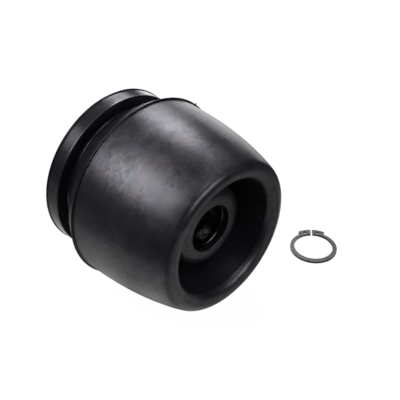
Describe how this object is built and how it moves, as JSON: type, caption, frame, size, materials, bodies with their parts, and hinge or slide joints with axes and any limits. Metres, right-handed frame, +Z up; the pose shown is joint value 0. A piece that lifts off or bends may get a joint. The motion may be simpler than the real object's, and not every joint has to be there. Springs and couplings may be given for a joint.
{
  "type": "driveshaft boot with bearing",
  "caption": "Black rubber driveshaft boot with a clamping flange, rolled nose and sealed ball bearing in its hub, with a loose shaft retaining ring beside it.",
  "frame": {"origin": "centre of the flange's rear face, on the boot's axis", "axes": "+X along the boot's axis from the flange to the nose, +Z up as the boot lies on its rim, +Y to the left when looking along +X"},
  "size_m": [0.1031, 0.1514, 0.1078],
  "materials": {
    "boot_rubber": "satin moulded rubber",
    "seal_rubber": "smooth oiled rubber",
    "support_steel": "drawn sheet steel",
    "sleeve_steel": "phosphated sheet steel",
    "bearing_steel": "ground",
    "ball_steel": "polished",
    "cage_steel": "pressed",
    "seal_steel": "pressed",
    "spring_steel": "drawn wire",
    "circlip_steel": "phosphated and oiled spring steel"
  },
  "bodies": {
    "base": {"boot_base": "boot_rubber", "flange_support_ring": "support_steel", "circlip": "circlip_steel"},
    "barrel": {"boot_barrel": "boot_rubber"},
    "nose": {"boot_nose": "boot_rubber"},
    "hub": {"boot_hub": "boot_rubber", "hub_sleeve": "sleeve_steel", "bearing_outer_ring": "bearing_steel", "front_seal_washer": "seal_steel", "front_seal_lip": "seal_rubber", "rear_seal_washer": "seal_steel", "rear_seal_lip": "seal_rubber", "oil_seal_case": "seal_steel", "oil_seal_lip": "seal_rubber", "oil_seal_spring": "spring_steel"},
    "shaft_seat": {"bearing_inner_ring": "bearing_steel"},
    "cage": {"bearing_balls": "ball_steel", "cage_front_half": "cage_steel", "cage_rear_half": "cage_steel", "cage_rivets": "cage_steel"}
  },
  "joints": [
    {"name": "lean_vertical", "type": "hinge", "parent": "base", "child": "barrel", "pos_m": [0, 0, 0], "axis": [0, 1, 0], "range_deg": [-8, 8], "stiffness_Nm_per_rad": 15, "deforming": ["boot_barrel"]},
    {"name": "lean_sideways", "type": "hinge", "parent": "barrel", "child": "nose", "pos_m": [0, 0, 0], "axis": [0, 0, 1], "range_deg": [-8, 8], "stiffness_Nm_per_rad": 15, "deforming": ["boot_barrel"]},
    {"name": "plunge", "type": "slide", "parent": "nose", "child": "hub", "axis": [1, 0, 0], "range_m": [-0.012, 0.01], "stiffness_N_per_m": 1500, "deforming": ["boot_nose"]},
    {"name": "shaft_spin", "type": "hinge", "parent": "hub", "child": "shaft_seat", "pos_m": [0.07, 0, 0], "axis": [1, 0, 0], "continuous": true},
    {"name": "cage_spin", "type": "hinge", "parent": "hub", "child": "cage", "pos_m": [0.07, 0, 0], "axis": [1, 0, 0], "continuous": true}
  ],
  "couplings": [
    {"joint": "cage_spin", "follows": "shaft_spin", "ratio": 0.42388}
  ]
}
